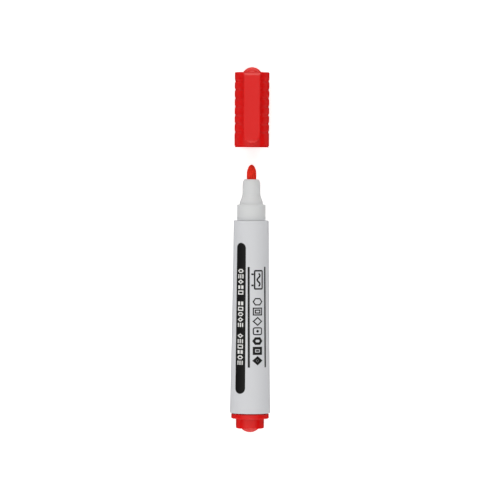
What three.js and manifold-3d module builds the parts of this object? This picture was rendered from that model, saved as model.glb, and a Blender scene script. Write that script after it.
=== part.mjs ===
// A whiteboard marker with a bullet nib and a clip cap. The cap is drawn pulled straight off, in line with the nib.
// Millimetres. +X runs along the marker towards the nib, +Z is up, and the clip is on the +Z side of the cap.
// The origin is under the middle of the whole object, on the surface that the marker lies on.

import * as THREE from "three";
import { mergeVertices } from "three/addons/utils/BufferGeometryUtils.js";
import Module from "manifold-3d";

const wasm = await Module();
wasm.setup();

// Every round piece has the same number of flats, at the same angles, so that the pieces nest evenly.
// The flats are tangent to the true round surface, and one of them faces straight down.
const SIDES = 32;
const TANGENT = 1 / Math.cos(Math.PI / SIDES);

// Barrel: a tube that widens towards its rear. Distances along the marker are counted from the barrel's shoulder.
const BARREL_LENGTH = 90.5;
const SHOULDER_R = 8.25;
const REAR_R = 9.5;
const FLARE_BEND = 0.52; // the share of the widening that grows with the square of the distance
const SHOULDER_ROUND = 0.5;
const RIM_ROUND = 0.3;
const SEAT_R = 6.3; // bore that the nib holder is pushed into
const SEAT_DEPTH = 9;
const BORE_FRONT_R = 6.6;
const BORE_REAR_R = 7.3;
const PLUG_SEAT_R = 7.7;
const PLUG_SEAT_DEPTH = 6.5;
const FLARE_STEPS = 8;

// Ribs inside the barrel, which centre the ink reservoir.
const RIB_COUNT = 4;
const RIB_WIDTH = 1;
const RIB_TIP_R = 6.2;
const RIB_ROOT_R = 7.6;
const RIB_FRONT = -14;
const RIB_REAR = -82;

// Nib holder: a spigot inside the barrel, a collar that the cap fits over, and the nose.
const SPIGOT_R = 6.1;
const COLLAR_R = 6.745;
const COLLAR_FRONT_R = 6.65;
const COLLAR_LENGTH = 7.4;
const FLARE_R = 5.56; // the nose's foot, on the collar's front face
const NOSE_R = 4.22;
const NOSE_FLARE_END = 11.7;
const NOSE_LENGTH = 19.3;
const NOSE_FACE_R = 3.2;
const NOSE_ROUND = 2.4; // length of the long soft rounding at the nose's tip
const NIB_BORE_R = 2.35;
const HOLDER_BORE_R = 4.4;

// Nib: a fibre rod with a bullet tip and a thinner stem that reaches into the reservoir.
const NIB_R = 2.25;
const NIB_TIP = 26.2;
const BULLET_LENGTH = 4.2;
const BULLET_POWER = 1.7;
const STEM_R = 1.6;
const STEM_END = -22;

// Ink reservoir: a fibre rod wrapped in plastic film.
const CORE_R = 5.75;
const WRAP_INNER_R = 5.8;
const WRAP_R = 6.05;
const RESERVOIR_FRONT = -10.5;
const RESERVOIR_REAR = -83.5;
const STEM_BORE_R = 1.75;
const STEM_BORE_END = -22.6;

// End plug: a flange against the barrel's rim, a boss, and a low dome.
const FLANGE_R = 8.85;
const FLANGE_LENGTH = 2.6;
const FLANGE_ROUND = 0.45;
const BOSS_R = 6.6;
const BOSS_LENGTH = 4.65;
const BOSS_ROUND = 0.5;
const DOME_R = 4.22;
const PLUG_DOME_HEIGHT = 1.95;
const PLUG_SPIGOT_R = 7.55;
const PLUG_SPIGOT_LENGTH = 6;
const PLUG_WALL = 1.25;
const SEAM = 0.1; // the hairline left between pieces that meet end on

// Cap, counted from its mouth.
const CAP_R = 8.13;
const CAP_LENGTH = 35.2;
const CAP_BORE_R = 6.95;
const CAP_UPPER_BORE_R = 6.85;
const CAP_BORE_STEP = 9.5;
const CAP_END_WALL = 1.6;
const CAP_DOME_HEIGHT = 2.4;
const CAP_EDGE = 0.3;
const MOUTH_R = 7.25;
const STUD_HOLE_R = 2.6;
const STUD_HOLE_DEPTH = 2.6;
const GROOVE_COUNT = 7;
const GROOVE_FIRST = 7.4;
const GROOVE_PITCH = 3.96;
const GROOVE_HALF = 0.75;
const GROOVE_DEPTH = 0.28;
const CAP_TRAVEL = 34.2; // how far the cap is pulled off its seat
const CAP_MOUTH = SEAM + CAP_TRAVEL;

// Clip: a tongue over the cap's side, moulded on at the closed end. Heights are from the marker's axis.
const CLIP_WIDTH = 8.1;
const CLIP_UNDER = 10.3;
const CLIP_TOP = 12.1;
const CLIP_EDGE = 0.8;
const CLIP_TIP = 2.15;
const CLIP_END = 31.95;
const CLIP_SLOPE = 3;
const CLIP_TIP_TOP = 11.6;
const BUMP_AT = 4.6;
const BUMP_HALF = 2;
const BUMP_LOW = 8.45;
const ROOT_START = 32.25;
const ROOT_END = 34.65;
const ROOT_LOW = 5.6;

// Inner cap: a sealing thimble inside the cap, held by a stud in the dome.
const LINER_BORE_R = 4.5;
const LINER_LIP_R = 4.38;
const LINER_R = 5.6;
const LINER_MOUTH = 12.3;
const LINER_FLOOR = 30.6;
const LINER_FLANGE_R = 6.55;
const LINER_FLANGE_START = 31.8;
const LINER_FLANGE_END = 33.3;
const STUD_R = 2.3;
const STUD_END = 35.6;

const plastic = (color, roughness) => new THREE.MeshStandardMaterial({ color, roughness, metalness: 0 });
const MATERIALS = {
  barrel: plastic(0xd5d7da, 0.35),
  holder: plastic(0xd3d4d1, 0.35),
  red: plastic(0xd41c1c, 0.3),
  clip: plastic(0xdc302c, 0.3),
  nib: plastic(0xd62d22, 0.95),
  liner: plastic(0xe9e7e0, 0.5),
  core: plastic(0xc9302a, 1),
  wrap: plastic(0xf2f2f0, 0.25),
};

// Points of an arc from one angle to another, in degrees, as [distance along the axis, radius].
function arc(along, radius, size, from, to, steps = 3) {
  return Array.from({ length: steps + 1 }, (_, i) => {
    const angle = THREE.MathUtils.degToRad(from + ((to - from) * i) / steps);
    return [along + size * Math.cos(angle), radius + size * Math.sin(angle)];
  });
}

// Points of a dome's outline, from its foot to its tip. Its foot is at `along`, and it rises by `height`.
function dome(along, footR, height, steps = 5) {
  const size = (footR ** 2 + height ** 2) / (2 * height);
  const foot = Math.asin(footR / size);
  return Array.from({ length: steps + 1 }, (_, i) => {
    const angle = foot * (1 - i / steps);
    return [along + height - size * (1 - Math.cos(angle)), size * Math.sin(angle)];
  });
}

// A body of revolution about the X axis. Its outline runs forwards along the outside and back along the inside.
function turned(outline) {
  const points = outline.map(([along, radius]) => new THREE.Vector2(radius * TANGENT, along));
  return new THREE.LatheGeometry(points, SIDES, Math.PI / SIDES).rotateZ(-Math.PI / 2);
}

// A closed ring's outline ends where it starts.
const ring = (outline) => turned([...outline, outline[0]]);

function box(xLow, xHigh, width, zLow, zHigh) {
  const geometry = new THREE.BoxGeometry(xHigh - xLow, width, zHigh - zLow);
  return geometry.translate((xLow + xHigh) / 2, 0, (zLow + zHigh) / 2);
}

function solid(geometry) {
  const bare = geometry.index ? geometry.toNonIndexed() : geometry.clone();
  bare.deleteAttribute("normal");
  bare.deleteAttribute("uv");
  const merged = mergeVertices(bare, 1e-4);
  const vertProperties = merged.attributes.position.array;
  const triVerts = new Uint32Array(merged.index.array);
  return new wasm.Manifold(new wasm.Mesh({ numProp: 3, vertProperties, triVerts }));
}

function geometryOf(made) {
  const { vertProperties, triVerts } = made.getMesh();
  const geometry = new THREE.BufferGeometry();
  geometry.setAttribute("position", new THREE.BufferAttribute(vertProperties, 3));
  geometry.setIndex(new THREE.BufferAttribute(triVerts, 1));
  const facets = geometry.toNonIndexed();
  facets.computeVertexNormals();
  return facets;
}

function extruded(points, depth) {
  const shape = new THREE.Shape(points.map(([x, y]) => new THREE.Vector2(x, y)));
  return new THREE.ExtrudeGeometry(shape, { depth, bevelEnabled: false });
}

function barrelRadius(along) {
  const share = -along / BARREL_LENGTH;
  const growth = REAR_R - SHOULDER_R;
  return SHOULDER_R + (growth - FLARE_BEND) * share + FLARE_BEND * share ** 2;
}

function makeBarrel() {
  const flareEnd = -SHOULDER_ROUND;
  const flareStart = -BARREL_LENGTH + RIM_ROUND;
  const flare = Array.from({ length: FLARE_STEPS + 1 }, (_, i) => {
    const along = flareStart + ((flareEnd - flareStart) * i) / FLARE_STEPS;
    return [along, barrelRadius(along)];
  });
  const seatEnd = -SEAT_DEPTH;
  const plugSeat = -BARREL_LENGTH + PLUG_SEAT_DEPTH;
  const tube = ring([
    [-BARREL_LENGTH, PLUG_SEAT_R],
    [-BARREL_LENGTH, REAR_R - RIM_ROUND],
    ...flare,
    ...arc(flareEnd, SHOULDER_R - SHOULDER_ROUND, SHOULDER_ROUND, 60, 0, 2),
    [0, SEAT_R],
    [seatEnd, SEAT_R],
    [seatEnd - 0.4, BORE_FRONT_R],
    [plugSeat + 0.4, BORE_REAR_R],
    [plugSeat, PLUG_SEAT_R],
  ]);
  let made = solid(tube);
  for (let i = 0; i < RIB_COUNT; i++) {
    const rib = box(RIB_REAR, RIB_FRONT, RIB_WIDTH, RIB_TIP_R, RIB_ROOT_R);
    rib.rotateX(((i + 0.5) * 2 * Math.PI) / RIB_COUNT);
    made = made.add(solid(rib));
  }
  return geometryOf(made);
}

// The collar's rear face stands a hairline off the barrel's shoulder.
function makeNibHolder() {
  const noseRound = Array.from({ length: 5 }, (_, i) => {
    const share = i / 4;
    const along = NOSE_LENGTH - NOSE_ROUND * (1 - share) ** 2;
    const radius = NOSE_FACE_R + (NOSE_R - NOSE_FACE_R) * Math.sqrt(1 - share ** 2);
    return [along, radius];
  });
  return ring([
    [-SEAT_DEPTH, HOLDER_BORE_R],
    [-SEAT_DEPTH, SPIGOT_R - 0.4],
    [-SEAT_DEPTH + 0.6, SPIGOT_R],
    [SEAM, SPIGOT_R],
    [SEAM, COLLAR_R],
    [2, COLLAR_R],
    [COLLAR_LENGTH - 0.3, COLLAR_FRONT_R],
    [COLLAR_LENGTH, COLLAR_FRONT_R - 0.2],
    [COLLAR_LENGTH, FLARE_R],
    [COLLAR_LENGTH + 1.3, FLARE_R - 0.15],
    [NOSE_FLARE_END - 1.9, 4.98],
    [NOSE_FLARE_END - 0.9, 4.5],
    [NOSE_FLARE_END, 4.25],
    ...noseRound,
    [NOSE_LENGTH, NIB_BORE_R],
    [4, NIB_BORE_R],
    [3.5, HOLDER_BORE_R],
  ]);
}

function makeNib() {
  const steps = 8;
  const bullet = Array.from({ length: steps + 1 }, (_, i) => {
    const share = Math.sin((Math.PI / 2) * (i / steps));
    const radius = NIB_R * Math.sqrt(Math.max(0, 1 - share ** BULLET_POWER));
    return [NIB_TIP - BULLET_LENGTH * (1 - share), radius];
  });
  return turned([
    [STEM_END, 0],
    [STEM_END, STEM_R - 0.7],
    [STEM_END + 1.2, STEM_R],
    [1.5, STEM_R],
    [2.1, NIB_R],
    ...bullet,
  ]);
}

function makeReservoirCore() {
  return turned([
    [RESERVOIR_REAR, 0],
    [RESERVOIR_REAR, CORE_R],
    [RESERVOIR_FRONT, CORE_R],
    [RESERVOIR_FRONT, STEM_BORE_R],
    [STEM_BORE_END, STEM_BORE_R],
    [STEM_BORE_END, 0],
  ]);
}

function makeReservoirWrap() {
  return ring([
    [RESERVOIR_REAR, WRAP_INNER_R],
    [RESERVOIR_REAR, WRAP_R],
    [RESERVOIR_FRONT, WRAP_R],
    [RESERVOIR_FRONT, WRAP_INNER_R],
  ]);
}

function makeEndPlug() {
  const flangeFront = -BARREL_LENGTH - SEAM;
  const flangeRear = -BARREL_LENGTH - FLANGE_LENGTH;
  const bossRear = flangeRear - BOSS_LENGTH;
  const spigotFront = -BARREL_LENGTH + PLUG_SPIGOT_LENGTH;
  const domeFootToTip = dome(0, DOME_R, PLUG_DOME_HEIGHT);
  const rearDome = domeFootToTip.reverse().map(([along, radius]) => [bossRear - along, radius]);
  return turned([
    ...rearDome,
    ...arc(bossRear + BOSS_ROUND, BOSS_R - BOSS_ROUND, BOSS_ROUND, 180, 90, 2),
    [flangeRear, BOSS_R],
    ...arc(flangeRear + FLANGE_ROUND, FLANGE_R - FLANGE_ROUND, FLANGE_ROUND, 180, 90),
    [flangeFront, FLANGE_R],
    [flangeFront, PLUG_SPIGOT_R],
    [spigotFront - 0.4, PLUG_SPIGOT_R],
    [spigotFront, PLUG_SPIGOT_R - 0.35],
    [spigotFront, PLUG_SPIGOT_R - PLUG_WALL],
    [flangeFront, PLUG_SPIGOT_R - PLUG_WALL],
    [flangeRear, BOSS_R - PLUG_WALL],
    [bossRear + 1.5, BOSS_R - PLUG_WALL],
    [bossRear + 1.5, 0],
  ]);
}

function capOutline() {
  const innerEnd = CAP_LENGTH - CAP_END_WALL;
  const grooves = Array.from({ length: GROOVE_COUNT }, (_, i) => {
    const middle = GROOVE_FIRST + i * GROOVE_PITCH;
    return [
      [middle - GROOVE_HALF, CAP_R],
      [middle, CAP_R - GROOVE_DEPTH],
      [middle + GROOVE_HALF, CAP_R],
    ];
  });
  return [
    [innerEnd + STUD_HOLE_DEPTH, 0],
    [innerEnd + STUD_HOLE_DEPTH, STUD_HOLE_R],
    [innerEnd, STUD_HOLE_R],
    [innerEnd, CAP_UPPER_BORE_R],
    [CAP_BORE_STEP, CAP_UPPER_BORE_R],
    [CAP_BORE_STEP - 1, CAP_BORE_R],
    [0.6, CAP_BORE_R],
    [0, MOUTH_R],
    [0, CAP_R - CAP_EDGE],
    [CAP_EDGE, CAP_R],
    ...grooves.flat(),
    [CAP_LENGTH - CAP_EDGE, CAP_R],
    [CAP_LENGTH, CAP_R - CAP_EDGE],
    ...dome(CAP_LENGTH, DOME_R, CAP_DOME_HEIGHT),
  ];
}

// The clip's cross-section: upright sides and rounded upper edges, extruded along X.
function clipBar(xLow, xHigh, zLow) {
  const half = CLIP_WIDTH / 2;
  const corner = (from, to, side) => arc(side * (half - CLIP_EDGE), CLIP_TOP - CLIP_EDGE, CLIP_EDGE, from, to, 4);
  const section = [[-half, zLow], [half, zLow], ...corner(0, 90, 1), ...corner(90, 180, -1)];
  const bar = extruded(section, xHigh - xLow);
  return bar.rotateY(Math.PI / 2).rotateX(Math.PI / 2).translate(xLow, 0, 0);
}

function makeCap() {
  const root = solid(clipBar(ROOT_START, ROOT_END, ROOT_LOW));
  const innerEnd = CAP_LENGTH - CAP_END_WALL;
  const bore = solid(turned([[0, 0], [0, CAP_UPPER_BORE_R], [innerEnd, CAP_UPPER_BORE_R], [innerEnd, 0]]));
  return geometryOf(solid(turned(capOutline())).add(root.subtract(bore)));
}

// The clip is where three outlines meet: its cross-section, its plan with a round tip, and its side view.
function makeClip() {
  const half = CLIP_WIDTH / 2;
  const plan = extruded([[CLIP_END, -half], [CLIP_END, half], ...arc(CLIP_TIP + half, 0, half, 90, 270, 12)], 20);
  const bump = Array.from({ length: 7 }, (_, i) => {
    const share = i / 3 - 1;
    return [BUMP_AT + share * BUMP_HALF, CLIP_UNDER - (CLIP_UNDER - BUMP_LOW) * (1 - share ** 2)];
  });
  const side = extruded(
    [
      [CLIP_TIP, CLIP_UNDER],
      ...bump,
      [CLIP_END, CLIP_UNDER],
      [CLIP_END, CLIP_TOP],
      [CLIP_TIP + CLIP_SLOPE, CLIP_TOP],
      [CLIP_TIP, CLIP_TIP_TOP],
    ],
    2 * CLIP_WIDTH,
  );
  side.rotateX(Math.PI / 2).translate(0, CLIP_WIDTH, 0);
  const bar = clipBar(0, CLIP_END, 0);
  return geometryOf(solid(bar).intersect(solid(plan)).intersect(solid(side)));
}

function makeInnerCap() {
  return turned([
    [LINER_FLOOR, 0],
    [LINER_FLOOR, LINER_BORE_R - 0.8],
    [LINER_FLOOR - 1.5, LINER_BORE_R],
    [LINER_MOUTH + 1.6, LINER_BORE_R],
    [LINER_MOUTH + 0.8, LINER_LIP_R],
    [LINER_MOUTH, LINER_BORE_R],
    [LINER_MOUTH, LINER_R - 0.4],
    [LINER_MOUTH + 0.4, LINER_R],
    [LINER_FLANGE_START, LINER_R],
    [LINER_FLANGE_START, LINER_FLANGE_R],
    [LINER_FLANGE_END, LINER_FLANGE_R],
    [LINER_FLANGE_END, STUD_R],
    [STUD_END - 0.5, STUD_R],
    [STUD_END, STUD_R - 0.5],
    [STUD_END, 0],
  ]);
}

function piece(name, geometry, material) {
  const mesh = new THREE.Mesh(geometry, material);
  mesh.name = name;
  return mesh;
}

const marker = new THREE.Group();
marker.add(piece("barrel", makeBarrel(), MATERIALS.barrel));
marker.add(piece("nib_holder", makeNibHolder(), MATERIALS.holder));
marker.add(piece("nib", makeNib(), MATERIALS.nib));
marker.add(piece("reservoir_core", makeReservoirCore(), MATERIALS.core));
marker.add(piece("reservoir_wrap", makeReservoirWrap(), MATERIALS.wrap));
marker.add(piece("end_plug", makeEndPlug(), MATERIALS.red));

const capAssembly = new THREE.Group();
capAssembly.add(piece("cap", makeCap(), MATERIALS.red));
capAssembly.add(piece("clip", makeClip(), MATERIALS.clip));
capAssembly.add(piece("inner_cap", makeInnerCap(), MATERIALS.liner));
capAssembly.position.x = CAP_MOUTH;
marker.add(capAssembly);

const frontTip = CAP_MOUTH + CAP_LENGTH + CAP_DOME_HEIGHT;
const rearTip = -BARREL_LENGTH - FLANGE_LENGTH - BOSS_LENGTH - PLUG_DOME_HEIGHT;
marker.position.set(-(frontTip + rearTip) / 2, 0, REAR_R);

export default marker;
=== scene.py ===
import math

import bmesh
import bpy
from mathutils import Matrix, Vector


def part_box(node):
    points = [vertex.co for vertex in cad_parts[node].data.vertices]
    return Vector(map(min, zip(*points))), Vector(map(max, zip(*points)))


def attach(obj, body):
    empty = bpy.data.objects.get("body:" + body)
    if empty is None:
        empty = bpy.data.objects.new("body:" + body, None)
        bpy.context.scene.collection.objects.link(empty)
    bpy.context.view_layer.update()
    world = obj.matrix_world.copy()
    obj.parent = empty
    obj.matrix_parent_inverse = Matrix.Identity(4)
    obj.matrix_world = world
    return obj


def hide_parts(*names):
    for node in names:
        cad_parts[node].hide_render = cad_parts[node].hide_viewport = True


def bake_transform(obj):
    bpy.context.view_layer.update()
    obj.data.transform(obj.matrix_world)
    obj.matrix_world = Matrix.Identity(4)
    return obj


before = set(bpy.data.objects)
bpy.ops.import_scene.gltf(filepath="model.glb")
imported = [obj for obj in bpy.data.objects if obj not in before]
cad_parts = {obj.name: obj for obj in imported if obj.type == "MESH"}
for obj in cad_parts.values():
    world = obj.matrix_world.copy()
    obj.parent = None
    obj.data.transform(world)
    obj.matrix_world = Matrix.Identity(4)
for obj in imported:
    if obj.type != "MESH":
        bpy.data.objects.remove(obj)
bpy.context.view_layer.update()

# The looks of a whiteboard marker that lies on a pale table with its cap pulled off, seen from above.
# Lengths along the marker are in millimetres from the barrel's shoulder, or from the cap's mouth,
# and the marker's radii are in millimetres. The camera, the table, the backdrop and the lights are in
# metres. The CAD boxes say where the shoulder, the mouth and the axis are.

MM = 0.001
SCENE = bpy.context.scene

barrel_low, barrel_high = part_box("barrel")
cap_low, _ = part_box("cap")
SHOULDER_X = barrel_high.x
MOUTH_X = cap_low.x
AXIS_Z = (barrel_low.z + barrel_high.z) / 2

# Barrel
BARREL_LENGTH = (barrel_high.x - barrel_low.x) / MM
REAR_R = 9.49
SHOULDER_R = 8.25
FLARE_BEND = 0.52
SEAT_R = 6.3
SEAT_DEPTH = 9
BORE_FRONT_R = 6.6
BORE_REAR_R = 7.3
PLUG_SEAT_R = 7.7
PLUG_SEAT_DEPTH = 6.5
FLARE_STEPS = 40
FLARE_MARGIN = 0.9

# Nib holder and nib
SPIGOT_R = 6.1
HOLDER_BORE_R = 4.4
NIB_BORE_R = 2.36
COLLAR_LENGTH = 7.4
COLLAR_R = 6.69
BEAD_START = 0.75
BEAD_LENGTH = 1.3
BEAD_HEIGHT = 0.05
NOSE_LENGTH = 19.3
NOSE_R = 4.22
NIB_R = 2.24
NIB_TIP = 26.2
BULLET_LENGTH = 4.2
BULLET_POWER = 1.7
STEM_R = 1.6
STEM_END = -22
SHAFT_START = 2.1
SHAFT_LENGTH = 19.7
SHAFT_STEPS = 20

# End plug
FLANGE_R = 8.84
FLANGE_LENGTH = 2.6
BOSS_R = 6.6
BOSS_LENGTH = 4.65
DOME_R = 4.22
PLUG_DOME_HEIGHT = 1.94
PLUG_SPIGOT_R = 7.55
PLUG_SPIGOT_LENGTH = 6
PLUG_INNER_R = 6.3
BOSS_INNER_R = 5.3

# Reservoir
CORE_R = 5.75
WRAP_INNER_R = 5.8
WRAP_R = 6.05
RESERVOIR_FRONT = -10.5
RESERVOIR_REAR = -83.5
STEM_BORE_R = 1.75
STEM_BORE_END = -22.6

# Cap
CAP_R = 8.12
CAP_LENGTH = 35.2
CAP_DOME_HEIGHT = 2.4
GROOVE_COUNT = 7
GROOVE_FIRST = 7.15
GROOVE_PITCH = 3.96
GROOVE_WIDTH = 2.0
GROOVE_DEPTH = 0.3
CAP_BORE_R = 6.95
CAP_UPPER_BORE_R = 6.85
CAP_END_WALL = 1.6
STUD_HOLE_R = 2.6
STUD_HOLE_DEPTH = 2.6
MOUTH_R = 7.3
MOUTH_LINE_DEPTH = 0.32

# Inner cap
LINER_BORE_R = 4.5
LINER_LIP_R = 4.38
LINER_R = 5.6
LINER_MOUTH = 12.3
LINER_FLOOR = 30.6
LINER_FLANGE_R = 6.55
LINER_FLANGE_START = 31.8
LINER_FLANGE_END = 33.3
STUD_R = 2.3
STUD_END = 35.6

# Clip: heights are from the marker's axis
CLIP_HALF = 4.05
CLIP_TOP = 12.1
CLIP_UNDER = 10.3
CLIP_TIP = 1.95
CLIP_END = 34.65
CLIP_EDGE = 0.8
TIP_STEPS = ((2.2, 0.0), (2.0, 0.05), (1.35, 0.11), (1.2, 0.19), (0.75, 0.27), (0.0, 0.5))
ROOT_FACE = 32.4
ROOT_BEVEL = 1.05
ROOT_DROP = 0.75
ROOT_FILLET = 1.0
ROOT_BURIED = 0.45
CLIP_CORNER = 0.5
UNDER_EDGE = 0.25
ROOT_RUN = 1.6
ROOT_SPAN = 2.2
SIDE_STEPS = 44
ROOT_STEPS = 14
TIP_TURNS = 24
BUMP_AT = 4.6
BUMP_HALF = 1.9
BUMP_DROP = 1.8

SEGMENTS = 160


# ---------------------------------------------------------------- camera

PHOTO_DISTANCE = 1.67
PHOTO_LENS = 256
CAMERA_X = 0.04697
AIM = Vector((-0.00003, 0.0005, AXIS_Z))
ROLL = math.radians(0.37)


def make_camera():
    camera = bpy.data.objects.new("camera", bpy.data.cameras.new("camera"))
    SCENE.collection.objects.link(camera)
    camera.data.sensor_width = 36
    camera.data.lens = PHOTO_LENS
    camera.data.clip_start = 0.01
    camera.data.clip_end = 20
    eye = Vector((CAMERA_X, AIM.y, AXIS_Z + PHOTO_DISTANCE))
    camera.location = eye
    back = (eye - AIM).normalized()
    up = Vector((math.cos(ROLL), math.sin(ROLL), 0))
    up = (up - back * up.dot(back)).normalized()
    right = up.cross(back)
    camera.rotation_mode = "QUATERNION"
    camera.rotation_quaternion = Matrix((right, up, back)).transposed().to_quaternion()
    SCENE.camera = camera


make_camera()


# ---------------------------------------------------------------- shapes

def rounded(outline, closed=False, steps=6, guard=0.08):
    """The outline with each (along, radius, corner) drawn as an arc of that corner radius.
    A guard point on each side keeps the flat next to it flat when it is shaded smooth."""
    points = []
    for i, point in enumerate(outline):
        here = Vector(point[:2])
        if len(point) < 3 or (not closed and i in (0, len(outline) - 1)):
            points.append(here)
            continue
        before = Vector(outline[i - 1][:2]) - here
        after = Vector(outline[(i + 1) % len(outline)][:2]) - here
        half = before.angle(after) / 2
        reach = min(point[2] / math.tan(half), 0.48 * before.length, 0.48 * after.length)
        size = reach * math.tan(half)
        start = here + before.normalized() * reach
        end = here + after.normalized() * reach
        centre = here + (before.normalized() + after.normalized()).normalized() * size / math.sin(half)
        turn = (start - centre).angle_signed(end - centre)
        if before.length > reach + 2 * guard:
            points.append(start + before.normalized() * guard)
        for k in range(steps + 1):
            angle = -turn * k / steps
            arm = start - centre
            cos, sin = math.cos(angle), math.sin(angle)
            points.append(centre + Vector((arm.x * cos - arm.y * sin, arm.x * sin + arm.y * cos)))
        if after.length > reach + 2 * guard:
            points.append(end + after.normalized() * guard)
    return [(p.x, max(p.y, 0)) for p in points]


def place(origin, along, radius, angle):
    """A point in the row frame. Angle 0 is straight up, and it grows towards -Y."""
    return (
        origin + along * MM,
        -radius * math.sin(angle) * MM,
        AXIS_Z + radius * math.cos(angle) * MM,
    )


def finish_mesh(name, bm, sharp=40):
    bmesh.ops.recalc_face_normals(bm, faces=bm.faces)
    mesh = bpy.data.meshes.new(name)
    bm.to_mesh(mesh)
    bm.free()
    mesh.shade_smooth()
    mesh.set_sharp_from_angle(angle=math.radians(sharp))
    piece = bpy.data.objects.new(name, mesh)
    SCENE.collection.objects.link(piece)
    return piece


def turned(name, origin, outline, closed=False):
    """A body of revolution about the marker's axis. An open outline starts and ends on the axis."""
    bm = bmesh.new()
    rings = []
    for along, radius in outline:
        if radius < 1e-6:
            rings.append([bm.verts.new(place(origin, along, 0, 0))])
            continue
        turn = [2 * math.pi * k / SEGMENTS for k in range(SEGMENTS)]
        rings.append([bm.verts.new(place(origin, along, radius, angle)) for angle in turn])
    pairs = list(zip(rings, rings[1:]))
    if closed:
        pairs.append((rings[-1], rings[0]))
    for a, b in pairs:
        for k in range(SEGMENTS):
            n = (k + 1) % SEGMENTS
            if len(a) == 1 and len(b) > 1:
                bm.faces.new((a[0], b[k], b[n]))
            elif len(b) == 1 and len(a) > 1:
                bm.faces.new((a[k], b[0], a[n]))
            elif len(a) > 1:
                bm.faces.new((a[k], b[k], b[n], a[n]))
    return finish_mesh(name, bm)


def dome(along, height, foot=DOME_R, steps=14):
    """A dome's outline from its foot to its tip. A negative height points the dome backwards."""
    size = (foot ** 2 + height ** 2) / (2 * abs(height))
    spread = math.asin(foot / size)
    sign = math.copysign(1, height)
    points = []
    for k in range(steps + 1):
        angle = spread * (1 - k / steps)
        points.append((along + sign * (abs(height) - size * (1 - math.cos(angle))), size * math.sin(angle)))
    points[-1] = (points[-1][0], 0)
    return points


# ---------------------------------------------------------------- pieces on the marker

def barrel_radius(along):
    share = -along / BARREL_LENGTH
    return SHOULDER_R + (REAR_R - SHOULDER_R - FLARE_BEND) * share + FLARE_BEND * share ** 2


def make_barrel():
    rear = -BARREL_LENGTH
    stations = [-FLARE_MARGIN + (rear + 2 * FLARE_MARGIN) * k / FLARE_STEPS for k in range(FLARE_STEPS + 1)]
    flare = [(along, barrel_radius(along)) for along in reversed(stations)]
    outline = rounded(
        [
            (rear, PLUG_SEAT_R, 0.15),
            (rear, REAR_R, 0.2),
            *flare,
            (0, SHOULDER_R, 0.5),
            (0, SEAT_R, 0.15),
            (-SEAT_DEPTH, SEAT_R),
            (-SEAT_DEPTH - 0.4, BORE_FRONT_R),
            (rear + PLUG_SEAT_DEPTH + 0.4, BORE_REAR_R),
            (rear + PLUG_SEAT_DEPTH, PLUG_SEAT_R),
        ],
        closed=True,
    )
    return turned("barrel_shell", SHOULDER_X, outline, closed=True)


def make_nib_holder():
    bead = []
    for k in range(9):
        share = k / 8
        height = BEAD_HEIGHT * math.sin(math.pi * share) ** 2
        bead.append((BEAD_START + BEAD_LENGTH * share, COLLAR_R + height))
    outline = rounded(
        [
            (-SEAT_DEPTH, HOLDER_BORE_R),
            (-SEAT_DEPTH, SPIGOT_R, 0.5),
            (0.1, SPIGOT_R),
            (0.1, COLLAR_R, 0.1),
            *bead,
            (COLLAR_LENGTH, COLLAR_R - 0.02, 0.28),
            (COLLAR_LENGTH, 5.56, 0.15),
            (8.9, 5.36, 1.2),
            (10.9, 4.5, 1.6),
            (12.2, NOSE_R, 1.5),
            (16.6, NOSE_R - 0.04),
            (18.4, 3.95, 1.6),
            (NOSE_LENGTH, 3.35, 0.55),
            (NOSE_LENGTH, 2.62, 0.1),
            (NOSE_LENGTH - 0.3, NIB_BORE_R),
            (4, NIB_BORE_R),
            (3.5, HOLDER_BORE_R),
        ],
        closed=True,
    )
    return turned("nib_holder_shell", SHOULDER_X, outline, closed=True)


def make_nib():
    steps = 30
    bullet = []
    for k in range(steps + 1):
        share = math.sin(math.pi / 2 * k / steps)
        radius = NIB_R * math.sqrt(max(0, 1 - share ** BULLET_POWER))
        bullet.append((NIB_TIP - BULLET_LENGTH * (1 - share), radius))
    bullet[-1] = (NIB_TIP, 0)
    shaft = [(SHAFT_START + SHAFT_LENGTH * k / SHAFT_STEPS, NIB_R) for k in range(SHAFT_STEPS + 1)]
    outline = [(STEM_END, 0), (STEM_END, 0.9), (STEM_END + 1.2, STEM_R), (1.5, STEM_R), *shaft, *bullet]
    return turned("nib_felt", SHOULDER_X, outline)


def make_end_plug():
    front = -BARREL_LENGTH - 0.4
    flange = -BARREL_LENGTH - FLANGE_LENGTH
    boss = flange - BOSS_LENGTH
    spigot = -BARREL_LENGTH + PLUG_SPIGOT_LENGTH
    outline = rounded(
        [
            *reversed(dome(boss, -PLUG_DOME_HEIGHT)),
            (boss, BOSS_R, 0.5),
            (flange, BOSS_R, 0.15),
            (flange, FLANGE_R, 0.45),
            (front, FLANGE_R, 0.3),
            (front, PLUG_SPIGOT_R),
            (spigot, PLUG_SPIGOT_R, 0.4),
            (spigot, PLUG_INNER_R),
            (front, PLUG_INNER_R),
            (flange, BOSS_INNER_R),
            (boss + 1.5, BOSS_INNER_R),
            (boss + 1.5, 0),
        ]
    )
    return turned("end_plug_shell", SHOULDER_X, outline)


def make_reservoir_core():
    outline = [
        (RESERVOIR_REAR, 0),
        (RESERVOIR_REAR, CORE_R),
        (RESERVOIR_FRONT, CORE_R),
        (RESERVOIR_FRONT, STEM_BORE_R),
        (STEM_BORE_END, STEM_BORE_R),
        (STEM_BORE_END, 0),
    ]
    return turned("reservoir_fibre", SHOULDER_X, outline)


def make_reservoir_wrap():
    outline = [
        (RESERVOIR_REAR, WRAP_INNER_R),
        (RESERVOIR_REAR, WRAP_R),
        (RESERVOIR_FRONT, WRAP_R),
        (RESERVOIR_FRONT, WRAP_INNER_R),
    ]
    return turned("reservoir_film", SHOULDER_X, outline, closed=True)


# ---------------------------------------------------------------- cap, liner and clip

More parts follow.
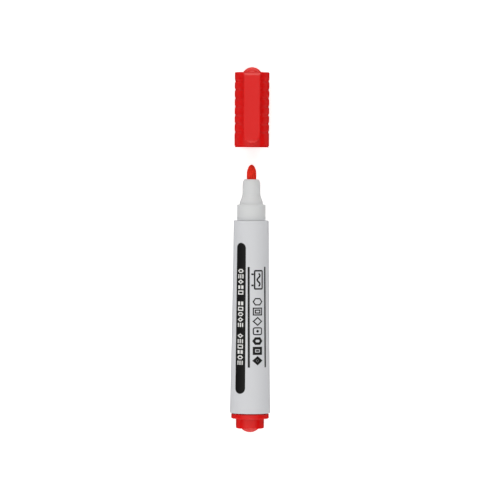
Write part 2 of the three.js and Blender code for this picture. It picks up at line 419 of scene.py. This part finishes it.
def cap_wall():
    """The cap's side from its mouth to its closed end, with seven soft grooves."""
    points = [(2.0, CAP_R)]
    for groove in range(GROOVE_COUNT):
        middle = GROOVE_FIRST + groove * GROOVE_PITCH
        for k in range(13):
            share = k / 12 - 0.5
            depth = GROOVE_DEPTH * math.cos(math.pi * share) ** 2
            points.append((middle + share * GROOVE_WIDTH, CAP_R - depth))
    return [*points, (CAP_LENGTH - 1.2, CAP_R)]


def make_cap():
    inner_end = CAP_LENGTH - CAP_END_WALL
    line_floor = CAP_R - MOUTH_LINE_DEPTH
    outline = rounded(
        [
            (inner_end + STUD_HOLE_DEPTH, 0),
            (inner_end + STUD_HOLE_DEPTH, STUD_HOLE_R, 0.3),
            (inner_end, STUD_HOLE_R, 0.1),
            (inner_end, CAP_UPPER_BORE_R, 0.4),
            (9.5, CAP_UPPER_BORE_R),
            (8.5, CAP_BORE_R),
            (0.6, CAP_BORE_R, 0.3),
            (0, MOUTH_R, 0.15),
            (0, CAP_R - 0.01, 0.08),
            (0.2, CAP_R - 0.01, 0.04),
            (0.26, line_floor, 0.04),
            (0.56, line_floor, 0.04),
            (0.64, CAP_R, 0.06),
            *cap_wall(),
            (CAP_LENGTH, CAP_R, 0.35),
            *dome(CAP_LENGTH, CAP_DOME_HEIGHT),
        ]
    )
    return turned("cap_shell", MOUTH_X, outline)


def make_inner_cap():
    outline = rounded(
        [
            (LINER_FLOOR, 0),
            (LINER_FLOOR, LINER_BORE_R, 1.4),
            (LINER_MOUTH + 1.6, LINER_BORE_R),
            (LINER_MOUTH + 0.8, LINER_LIP_R, 0.3),
            (LINER_MOUTH, 4.6, 0.1),
            (LINER_MOUTH, LINER_R, 0.3),
            (LINER_FLANGE_START, LINER_R, 0.2),
            (LINER_FLANGE_START, LINER_FLANGE_R, 0.2),
            (LINER_FLANGE_END, LINER_FLANGE_R, 0.2),
            (LINER_FLANGE_END, STUD_R, 0.2),
            (STUD_END, STUD_R, 0.5),
            (STUD_END, 0),
        ]
    )
    return turned("inner_cap_liner", MOUTH_X, outline)


def clip_loop(inset):
    """The clip's plan outline, moved inwards by inset: (along, across, how far round the tip, 0 to 1)."""
    half = CLIP_HALF - inset
    centre = CLIP_TIP + CLIP_HALF
    end = CLIP_END - inset
    corner = max(CLIP_CORNER - inset, 0)
    root = ROOT_FACE - ROOT_RUN
    stations = [centre + (root - centre) * k / SIDE_STEPS for k in range(SIDE_STEPS)]
    stations += [root + ROOT_SPAN * k / ROOT_STEPS for k in range(ROOT_STEPS + 1)]
    last = CLIP_END - max(inset, CLIP_CORNER)
    side = [min(s, last) for s in stations]
    loop = []
    for k in range(1, TIP_TURNS):
        angle = math.pi / 2 + math.pi * k / TIP_TURNS
        loop.append((centre + half * math.cos(angle), half * math.sin(angle), abs(math.cos(angle))))
    loop += [(s, -half, 0) for s in side]
    turn = [math.pi / 2 * k / 4 for k in range(5)]
    loop += [(end - corner + corner * math.sin(a), -half + corner - corner * math.cos(a), 0) for a in turn]
    loop += [(end, (half - corner) * (k / 8 - 1), 0) for k in range(1, 16)]
    loop += [(end - corner + corner * math.cos(a), half - corner + corner * math.sin(a), 0) for a in turn]
    loop += [(s, half, 0) for s in reversed(side)]
    return loop


def clip_top(along, inset, tipness):
    """Height of the clip's front: rounded edges, two shallow terraces round the tip, a bevel at the root."""
    edge = CLIP_EDGE - math.sqrt(max(0, CLIP_EDGE ** 2 - max(0, CLIP_EDGE - inset) ** 2))
    drop = 0
    for (far, high), (near, low) in zip(TIP_STEPS, TIP_STEPS[1:]):
        if near <= inset < far:
            drop = high + (low - high) * (far - inset) / (far - near)
    bevel = max(0, along - (CLIP_END - ROOT_BEVEL)) / ROOT_BEVEL
    return CLIP_TOP - max(edge, ROOT_DROP * bevel) - drop * tipness ** 1.5


def clip_under(along, across):
    """Height of the clip's underside: flat, with a grip bump near its tip and a filleted root in the cap."""
    buried = math.sqrt(CAP_R ** 2 - across ** 2) - ROOT_BURIED
    if along > ROOT_FACE:
        return buried
    height = CLIP_UNDER
    reach = along - (ROOT_FACE - ROOT_FILLET)
    if reach > 0:
        height -= ROOT_FILLET - math.sqrt(ROOT_FILLET ** 2 - reach ** 2)
    share = abs(along - BUMP_AT) / BUMP_HALF
    if share < 1:
        sides = max(0, 1 - (across / 3.7) ** 4)
        height -= BUMP_DROP * math.cos(math.pi / 2 * share) * sides
    return height


def make_clip():
    bm = bmesh.new()
    insets = [0, 0.03, 0.1, 0.2, 0.33, 0.5, 0.75, 0.95, 1.2, 1.35, 1.65, 2.0, 2.2, 2.4]
    insets += [2.65, 2.9, 3.15, 3.4, 3.7, CLIP_HALF]
    levels = []
    for inset in reversed(insets):
        levels.append([(s, y, clip_top(s, inset, tip)) for s, y, tip in clip_loop(inset)])
    rim = [(s, y, clip_under(s, y) + UNDER_EDGE) for s, y, _ in clip_loop(0)]
    levels.append(rim)
    for inset in insets[1:]:
        lift = UNDER_EDGE - math.sqrt(max(0, UNDER_EDGE ** 2 - max(0, UNDER_EDGE - inset) ** 2))
        levels.append([(s, y, clip_under(s, y) + lift) for s, y, _ in clip_loop(inset)])
    rings = []
    for level in levels:
        rings.append([bm.verts.new((MOUTH_X + s * MM, y * MM, AXIS_Z + z * MM)) for s, y, z in level])
    for a, b in zip(rings, rings[1:]):
        for k in range(len(a)):
            n = (k + 1) % len(a)
            bm.faces.new((a[k], b[k], b[n], a[n]))
    bmesh.ops.remove_doubles(bm, verts=bm.verts, dist=1e-6)
    bmesh.ops.dissolve_degenerate(bm, edges=bm.edges, dist=1e-7)
    return finish_mesh("clip_tongue", bm)


# ---------------------------------------------------------------- printing on the barrel

STRIPE_FRONT, STRIPE_REAR = -10.4, -81.1
STRIPE_ANGLES = (-34.2, -31.7)
STRIPE_WIDTHS = (5.0, 5.45)
LINE_FRONT, LINE_REAR = -21.6, -68.7
LINE_ANGLES = ((-7.3, -4.3), (50.0, 50.3))
LINE_WIDTHS = (0.98, 0.98)
SIGN_START, SIGN_ANGLE = -22.9, 21.0
SIGN_LENGTH = 9.5
SIGN_WIDE, SIGN_TALL = 9.2, 4.6
SIGN_RAISED = 0.6
FOOT_PLACE = 2.6
ROW_START, ROW_END, ROW_ANGLE = -35.6, -67.8, 22.0
STRIPE_MARKS = (-22.3, -67.8)
INK_HEIGHT = 0.02
WHITE_HEIGHT = 0.036
INK_DEPTH = 0.03
GRAIN = 0.4
BAR_STEPS = 90
END_STEPS = 16
FILL_STEPS = (1, 0.8, 0.6, 0.4, 0.2)


def print_place(along, across, angle, height):
    """A point on the barrel: across is an arc length in millimetres, from the line at that angle."""
    radius = barrel_radius(along)
    return place(SHOULDER_X, along, radius + height, math.radians(angle) + across / radius)


def between(ends, share):
    return ends[0] + (ends[1] - ends[0]) * share


def stripe_angle(along):
    return between(STRIPE_ANGLES, (along - STRIPE_FRONT) / (STRIPE_REAR - STRIPE_FRONT))


def line_angle(ends):
    return lambda along: between(ends, (along - LINE_FRONT) / (LINE_REAR - LINE_FRONT))


def ink(name, strips, shapes, height):
    """Closed thin solids of ink. A strip is a grid of (along, across, angle); a shape is a list of
    nested closed loops of such points, the outermost first, and a last loop of one point fills it."""
    bm = bmesh.new()

    def both(points):
        levels = (height, height - INK_DEPTH)
        return [[bm.verts.new(print_place(*p, level)) for p in points] for level in levels]

    for strip in strips:
        rows = [both(row) for row in strip]
        columns = len(strip[0])
        for (top_a, low_a), (top_b, low_b) in zip(rows, rows[1:]):
            for j in range(columns - 1):
                bm.faces.new((top_a[j], top_b[j], top_b[j + 1], top_a[j + 1]))
                bm.faces.new((low_a[j], low_a[j + 1], low_b[j + 1], low_b[j]))
            for j in (0, columns - 1):
                bm.faces.new((top_a[j], top_b[j], low_b[j], low_a[j]))
        for top, low in (rows[0], rows[-1]):
            for j in range(columns - 1):
                bm.faces.new((top[j], top[j + 1], low[j + 1], low[j]))
    for loops in shapes:
        rings = [both(loop) for loop in loops]
        for (top_a, low_a), (top_b, low_b) in zip(rings, rings[1:]):
            count = len(top_a)
            for j in range(count):
                n = (j + 1) % count
                for a, b in ((top_a, top_b), (low_a, low_b)):
                    if len(b) == 1:
                        bm.faces.new((a[j], a[n], b[0]))
                    else:
                        bm.faces.new((a[j], a[n], b[n], b[j]))
        for top, low in (rings[0], rings[-1]):
            if len(top) > 1:
                for j in range(len(top)):
                    n = (j + 1) % len(top)
                    bm.faces.new((top[j], top[n], low[n], low[j]))
    return finish_mesh(name, bm, sharp=30)


def bar(front, rear, widths, angle_at, columns=3, round_ends=False):
    """A long strip along the barrel with square or round ends. widths are those of its front and rear."""
    stations = [(k / BAR_STEPS, 1) for k in range(BAR_STEPS + 1)]
    if round_ends:
        length = front - rear
        first, last = widths[0] / 2, widths[1] / 2
        straight = length - first - last
        turn = [math.pi / 2 * k / END_STEPS for k in range(1, END_STEPS)]
        stations = [(first * (1 - math.sin(t)), math.cos(t)) for t in reversed(turn)]
        stations += [(first + straight * k / BAR_STEPS, 1) for k in range(BAR_STEPS + 1)]
        stations += [(length - last * (1 - math.sin(t)), math.cos(t)) for t in turn]
        stations = [(reach / length, width) for reach, width in stations]
    strip = []
    for share, width in stations:
        along = front + (rear - front) * share
        half = between(widths, share) / 2 * width
        strip.append([(along, half * (2 * c / columns - 1), angle_at(along)) for c in range(columns + 1)])
    return strip


def inset(corners, width):
    """A convex polygon with every edge moved inwards. Its corners run anticlockwise."""
    moved = []
    for i, corner in enumerate(corners):
        here = Vector(corner)
        before = (here - Vector(corners[i - 1])).normalized()
        after = (Vector(corners[(i + 1) % len(corners)]) - here).normalized()
        inward = Vector((-before.y, before.x)) + Vector((-after.y, after.x))
        moved.append(here + inward * width / (1 + before.dot(after)))
    return [tuple(p) for p in moved]


def round_corners(corners, size, steps=5):
    points = []
    for i, corner in enumerate(corners):
        here = Vector(corner)
        before = (Vector(corners[i - 1]) - here).normalized()
        after = (Vector(corners[(i + 1) % len(corners)]) - here).normalized()
        for k in range(steps + 1):
            t = k / steps
            start, end = here + before * size, here + after * size
            points.append(tuple(start * (1 - t) ** 2 + here * 2 * t * (1 - t) + end * t ** 2))
    return points


def divide(loops):
    """The same loops with extra points, so that no edge of the outer one is longer than the grain."""
    result = [[] for _ in loops]
    outer = loops[0]
    for i in range(len(outer)):
        n = (i + 1) % len(outer)
        parts = max(1, math.ceil(math.dist(outer[i], outer[n]) / GRAIN))
        for loop, points in zip(loops, result):
            for k in range(parts):
                t = k / parts
                points.append(tuple(a + (b - a) * t for a, b in zip(loop[i], loop[n])))
    return result


def outlined(corners, width):
    return divide([corners, inset(corners, width / 2), inset(corners, width)])


def filled(corners):
    centre = tuple(sum(c) / len(corners) for c in zip(*corners))
    loops = []
    for size in FILL_STEPS:
        loops.append([tuple(m + (p - m) * size for p, m in zip(corner, centre)) for corner in corners])
    return [*divide(loops), [centre]]


def polygon(sides, wide, tall, turn=0):
    angles = [math.radians(turn) + 2 * math.pi * k / sides for k in range(sides)]
    return [(wide / 2 * math.cos(a), tall / 2 * math.sin(a)) for a in angles]


def rectangle(wide, tall, u=0, v=0):
    left, right = u - wide / 2, u + wide / 2
    low, high = v - tall / 2, v + tall / 2
    return [(left, low), (right, low), (right, high), (left, high)]


def laid(loops, start, angle):
    """A mark's own (u, v) put on the barrel: u runs towards the rear, v towards -Y."""
    return [[(start - u, v, angle) for u, v in loop] for loop in loops]


def wave(length, height, width, turns, steps=60):
    rows = []
    for k in range(steps + 1):
        t = k / steps
        u = length * (t - 0.5)
        slope = height * math.pi * turns / length * math.cos(2 * math.pi * turns * t)
        across = Vector((-slope, 1)).normalized() * width / 2
        centre = Vector((u, height / 2 * math.sin(2 * math.pi * turns * t)))
        rows.append([tuple(centre + across * side) for side in (-1, 0, 1)])
    return rows


def make_black_marks():
    """A small whiteboard sign, then seven plain shapes: four in thin line and three bold."""
    centre = SIGN_START - SIGN_LENGTH / 2
    board = round_corners(rectangle(SIGN_WIDE, SIGN_TALL, 0, SIGN_RAISED), 0.8)
    shapes = [laid(outlined(board, 0.7), centre, SIGN_ANGLE)]
    for u in (-FOOT_PLACE, FOOT_PLACE):
        shapes.append(laid(filled(rectangle(0.8, 1.1, u, -2.35)), centre, SIGN_ANGLE))
    scribble = wave(6.0, 1.4, 0.75, 1.5)
    strips = [[[(centre - u, v + SIGN_RAISED, SIGN_ANGLE) for u, v in row] for row in scribble]]

    thin, bold = 0.55, 1.15
    tall = 4.7
    glyphs = [
        [outlined(polygon(6, 4.0, tall * 1.06, 30), thin)],
        [outlined(rectangle(3.7, tall), thin), outlined(rectangle(1.9, tall - 1.9), thin)],
        [outlined(polygon(4, 4.3, tall * 1.06, 0), thin)],
        [outlined(round_corners(rectangle(3.7, tall), 1.1), thin), filled(polygon(12, 1.3, 1.3))],
        [outlined(polygon(6, 4.1, tall * 1.1, 30), bold)],
        [outlined(rectangle(3.8, tall), bold), filled(rectangle(0.8, 1.6))],
        [outlined(polygon(4, 4.4, tall * 1.1, 0), bold), filled(polygon(4, 1.2, 1.4))],
    ]
    pitch = (ROW_START - ROW_END) / len(glyphs)
    for k, glyph in enumerate(glyphs):
        for loops in glyph:
            shapes.append(laid(loops, ROW_START - pitch * (k + 0.5), ROW_ANGLE))
    return ink("print_marks", strips, shapes, INK_HEIGHT)


def make_white_marks():
    """Sixteen small plain shapes in the stripe, in groups of five, five and six."""
    tall, line = 2.9, 0.5
    frame_shape = [outlined(rectangle(1.9, tall), line)]
    bars = [filled(rectangle(1.9, 0.6, 0, v)) for v in (-1.15, 0, 1.15)]
    diamond = [outlined(polygon(4, 2.2, tall * 1.1, 0), line)]
    hexagon = [outlined(polygon(6, 2.1, tall * 1.06, 30), line)]
    brick = [filled(rectangle(1.7, 1.15, 0, 0.85)), filled(rectangle(1.7, 1.15, 0, -0.85))]
    groups = [
        [hexagon, bars, diamond, brick, frame_shape],
        [brick, frame_shape, hexagon, diamond, bars],
        [diamond, bars, frame_shape, brick, hexagon, bars],
    ]
    slots = sum(len(group) for group in groups) + len(groups) - 1
    pitch = (STRIPE_MARKS[0] - STRIPE_MARKS[1]) / slots
    shapes = []
    slot = 0.5
    for group in groups:
        for glyph in group:
            at = STRIPE_MARKS[0] - pitch * slot
            for loops in glyph:
                shapes.append(laid(loops, at, stripe_angle(at)))
            slot += 1
        slot += 1
    return ink("print_stripe_marks", [], shapes, WHITE_HEIGHT)


def make_stripe():
    strip = bar(STRIPE_FRONT, STRIPE_REAR, STRIPE_WIDTHS, stripe_angle, 12, True)
    return ink("print_stripe", [strip], [], INK_HEIGHT)


def make_lines():
    lines = [bar(LINE_FRONT, LINE_REAR, LINE_WIDTHS, line_angle(ends)) for ends in LINE_ANGLES]
    return ink("print_lines", lines, [], INK_HEIGHT)


# ---------------------------------------------------------------- materials

def nodes_of(name, color, roughness, specular):
    material = bpy.data.materials.new(name)
    material.use_nodes = True
    tree = material.node_tree
    shader = tree.nodes["Principled BSDF"]
    shader.inputs["Base Color"].default_value = (*color, 1)
    shader.inputs["Roughness"].default_value = roughness
    shader.inputs["Specular IOR Level"].default_value = specular
    return material, tree, shader


def noise(tree, scale, detail, stretch=(1, 1, 1)):
    coordinates = tree.nodes.new("ShaderNodeTexCoord")
    mapping = tree.nodes.new("ShaderNodeMapping")
    mapping.inputs["Scale"].default_value = stretch
    texture = tree.nodes.new("ShaderNodeTexNoise")
    texture.inputs["Scale"].default_value = scale
    texture.inputs["Detail"].default_value = detail
    tree.links.new(coordinates.outputs["Object"], mapping.inputs["Vector"])
    tree.links.new(mapping.outputs["Vector"], texture.inputs["Vector"])
    return texture.outputs["Fac"]


def ranged(tree, value, low, high, out_low, out_high):
    node = tree.nodes.new("ShaderNodeMapRange")
    for socket, number in zip(("From Min", "From Max", "To Min", "To Max"), (low, high, out_low, out_high)):
        node.inputs[socket].default_value = number
    tree.links.new(value, node.inputs["Value"])
    return node.outputs["Result"]


def mixed(tree, factor, first, second):
    node = tree.nodes.new("ShaderNodeMix")
    node.data_type = "RGBA"
    tree.links.new(factor, node.inputs["Factor"])
    for socket, color in (("A", first), ("B", second)):
        target = [s for s in node.inputs if s.name == socket and s.type == "RGBA"][0]
        target.default_value = (*color, 1)
    return [s for s in node.outputs if s.type == "RGBA"][0]


def bumped(tree, shader, value, distance):
    node = tree.nodes.new("ShaderNodeBump")
    node.inputs["Distance"].default_value = distance
    node.inputs["Strength"].default_value = 1.0
    tree.links.new(value, node.inputs["Height"])
    tree.links.new(node.outputs["Normal"], shader.inputs["Normal"])


def shade(color, factor):
    return tuple(min(1, c * factor) for c in color)


def moulded(name, color, roughness, specular, variation):
    """Moulded polypropylene: faint flow variation, slightly uneven roughness and a very fine skin."""
    material, tree, shader = nodes_of(name, color, roughness, specular)
    flow = ranged(tree, noise(tree, 90, 3, (0.4, 1, 1)), 0.3, 0.7, 0, 1)
    mix = mixed(tree, flow, shade(color, 1 - variation), shade(color, 1 + variation))
    tree.links.new(mix, shader.inputs["Base Color"])
    sheen = ranged(tree, noise(tree, 500, 3), 0.3, 0.7, roughness - 0.02, roughness + 0.025)
    tree.links.new(sheen, shader.inputs["Roughness"])
    bumped(tree, shader, noise(tree, 1400, 2), 0.0000012)
    return material


def make_materials():
    materials = {
        "barrel": moulded("barrel_plastic", (0.69, 0.702, 0.745), 0.4, 0.45, 0.012),
        "holder": moulded("holder_plastic", (0.695, 0.71, 0.733), 0.42, 0.45, 0.012),
        "red": moulded("red_plastic", (0.79, 0.0026, 0.002), 0.24, 0.7, 0.02),
        "liner": moulded("liner_plastic", (0.72, 0.7, 0.66), 0.45, 0.4, 0.02),
        "film": moulded("film_plastic", (0.8, 0.8, 0.79), 0.2, 0.5, 0.01),
    }
    felt_color = (0.82, 0.034, 0.019)
    felt, tree, shader = nodes_of("nib_felt", felt_color, 1.0, 0.0)
    fibres = noise(tree, 2600, 6, (0.18, 1, 1))
    weave = ranged(tree, fibres, 0.3, 0.7, 0, 1)
    mix = mixed(tree, weave, shade(felt_color, 0.62), shade(felt_color, 1.25))
    tree.links.new(mix, shader.inputs["Base Color"])
    bumped(tree, shader, fibres, 0.00006)
    materials["felt"] = felt
    fibre_color = (0.5, 0.03, 0.02)
    fibre, tree, shader = nodes_of("reservoir_fibre", fibre_color, 0.9, 0.2)
    strands = noise(tree, 1800, 6, (0.03, 1, 1))
    weave = ranged(tree, strands, 0.3, 0.7, 0, 1)
    mix = mixed(tree, weave, shade(fibre_color, 0.7), shade(fibre_color, 1.4))
    tree.links.new(mix, shader.inputs["Base Color"])
    bumped(tree, shader, strands, 0.0001)
    materials["fibre"] = fibre
    for key, color, specular in (("ink", (0.0085, 0.0083, 0.009), 0.4), ("white", (0.8, 0.8, 0.8), 0.3)):
        printed, tree, shader = nodes_of(key + "_print", color, 0.42, specular)
        wear = ranged(tree, noise(tree, 1500, 4), 0.3, 0.7, 0, 1)
        mix = mixed(tree, wear, shade(color, 0.85), shade(color, 1.15))
        tree.links.new(mix, shader.inputs["Base Color"])
        materials[key] = printed
    return materials


# ---------------------------------------------------------------- put together

MATERIALS = make_materials()


def dress(piece, material, body, slot, *nodes):
    piece.data.materials.append(MATERIALS[material])
    if body:
        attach(piece, body)
    if nodes:
        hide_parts(*nodes)


dress(make_barrel(), "barrel", "marker", "barrel_plastic", "barrel")
dress(make_nib_holder(), "holder", "marker", "holder_plastic", "nib_holder")
dress(make_nib(), "felt", "marker", "nib_fibre", "nib")
dress(make_end_plug(), "red", "marker", "coloured_plastic", "end_plug")
dress(make_reservoir_core(), "fibre", "marker", "reservoir_fibre", "reservoir_core")
dress(make_reservoir_wrap(), "film", "marker", "reservoir_film", "reservoir_wrap")
dress(make_stripe(), "ink", "marker", "barrel_plastic")
dress(make_lines(), "ink", "marker", "barrel_plastic")
dress(make_black_marks(), "ink", "marker", "barrel_plastic")
dress(make_white_marks(), "white", "marker", "barrel_plastic")
dress(make_cap(), "red", "cap", "coloured_plastic", "cap")
dress(make_inner_cap(), "liner", "cap", "liner_plastic", "inner_cap")
clip = make_clip()
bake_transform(clip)
dress(clip, "red", None, "coloured_plastic", "clip")


# ---------------------------------------------------------------- table and light

FLOOR_SIZE = 12.0
FLOOR_GLOW = 0.5
BACKDROP_R = 2.8
BACKDROP_HEIGHTS = (-0.5, 4.0)
BACKDROP_SIDES = 64
KEY_PLACE, KEY_TARGET = (0, 0.55, 0.7), (0, 0.55, 0)
KEY_SIZE = (3.8, 3.2)
KEY_RADIANCE = 0.62
ROOM_COLOR = (1, 0.98, 0.9, 1)


def make_floor():
    """The barrel's rear rim and the cap's far edge touch the table, so it leans a little."""
    rear = barrel_low.x
    front = MOUTH_X + CAP_LENGTH * MM
    lift = AXIS_Z - CAP_R * MM
    slope = (lift - barrel_low.z) / (front - rear)
    bm = bmesh.new()
    half = FLOOR_SIZE / 2
    for x, y in ((-half, -half), (half, -half), (half, half), (-half, half)):
        bm.verts.new((x, y, barrel_low.z + slope * (x - rear)))
    bm.faces.new(bm.verts)
    mesh = bpy.data.meshes.new("floor")
    bm.to_mesh(mesh)
    bm.free()
    floor = bpy.data.objects.new("floor", mesh)
    SCENE.collection.objects.link(floor)
    material, tree, shader = nodes_of("table", (0.93, 0.93, 0.93), 0.7, 0.2)
    shader.inputs["Emission Color"].default_value = (1, 1, 1, 1)
    shader.inputs["Emission Strength"].default_value = FLOOR_GLOW
    grain = ranged(tree, noise(tree, 25, 3), 0.3, 0.7, 0.66, 0.74)
    tree.links.new(grain, shader.inputs["Roughness"])
    floor.data.materials.append(material)
    floor.visible_glossy = False


def make_backdrop():
    """A pale wall round the table, for low views. It only shows: it casts and blocks no light."""
    bm = bmesh.new()
    rings = []
    turn = [2 * math.pi * k / BACKDROP_SIDES for k in range(BACKDROP_SIDES)]
    for height in BACKDROP_HEIGHTS:
        ring = [(BACKDROP_R * math.cos(a), BACKDROP_R * math.sin(a), height) for a in turn]
        rings.append([bm.verts.new(corner) for corner in ring])
    for k in range(BACKDROP_SIDES):
        n = (k + 1) % BACKDROP_SIDES
        bm.faces.new((rings[0][k], rings[0][n], rings[1][n], rings[1][k]))
    mesh = bpy.data.meshes.new("backdrop")
    bm.to_mesh(mesh)
    bm.free()
    backdrop = bpy.data.objects.new("backdrop", mesh)
    SCENE.collection.objects.link(backdrop)
    material, tree, shader = nodes_of("backdrop", (0, 0, 0), 1.0, 0.0)
    shader.inputs["Emission Color"].default_value = (1, 1, 1, 1)
    shader.inputs["Emission Strength"].default_value = 1.0
    backdrop.data.materials.append(material)
    backdrop.visible_glossy = False
    backdrop.visible_diffuse = False
    backdrop.visible_shadow = False
    backdrop.visible_transmission = False


def area_light(name, location, target, size, radiance):
    """A soft light that is hidden from the camera and from reflections."""
    light = bpy.data.lights.new(name, "AREA")
    light.shape = "RECTANGLE"
    light.size, light.size_y = size
    light.energy = radiance * math.pi * size[0] * size[1]
    holder = bpy.data.objects.new(name, light)
    SCENE.collection.objects.link(holder)
    holder.location = location
    holder.rotation_mode = "QUATERNION"
    holder.rotation_quaternion = (Vector(location) - Vector(target)).to_track_quat("Z", "Y")
    holder.visible_camera = False
    holder.visible_glossy = False


def calculated(tree, operation, first, second=None):
    node = tree.nodes.new("ShaderNodeMath")
    node.operation = operation
    tree.links.new(first, node.inputs[0])
    if second:
        tree.links.new(second, node.inputs[1])
    return node.outputs[0]


def make_light():
    """A soft room whose brightness is fitted to the photo: a ceiling that is brighter towards +Y, a window
    beyond each end of the marker, and a glow under the horizon at both ends."""
    world = bpy.data.worlds.new("studio")
    world.use_nodes = True
    tree = world.node_tree
    coordinates = tree.nodes.new("ShaderNodeTexCoord")
    split = tree.nodes.new("ShaderNodeSeparateXYZ")
    tree.links.new(coordinates.outputs["Generated"], split.inputs["Vector"])
    along = calculated(tree, "ABSOLUTE", split.outputs["X"])
    across = calculated(tree, "ABSOLUTE", split.outputs["Y"])
    ceiling = ranged(tree, split.outputs["Z"], 0.45, 0.85, 0.01, 0.34)
    lean = ranged(tree, split.outputs["Y"], -1, 1, 0.6, 1.4)
    windows = ranged(tree, along, 0.58, 0.7, 0, 1.6)
    raised = ranged(tree, split.outputs["Z"], 0.05, 0.2, 0, 1)
    narrow = ranged(tree, across, 0.15, 0.5, 1, 0)
    low = ranged(tree, split.outputs["Z"], -0.15, 0, 1, 0)
    walls = ranged(tree, along, 0.4, 0.85, 0, 0.75)
    above = calculated(tree, "MULTIPLY", ceiling, lean)
    panes = calculated(tree, "MULTIPLY", calculated(tree, "MULTIPLY", windows, narrow), raised)
    below = calculated(tree, "MULTIPLY", walls, low)
    strength = calculated(tree, "ADD", calculated(tree, "ADD", above, panes), below)
    tree.nodes["Background"].inputs["Color"].default_value = ROOM_COLOR
    tree.links.new(strength, tree.nodes["Background"].inputs["Strength"])
    SCENE.world = world
    area_light("key", KEY_PLACE, KEY_TARGET, KEY_SIZE, KEY_RADIANCE)


make_floor()
make_backdrop()
make_light()
SCENE.view_settings.view_transform = "Standard"
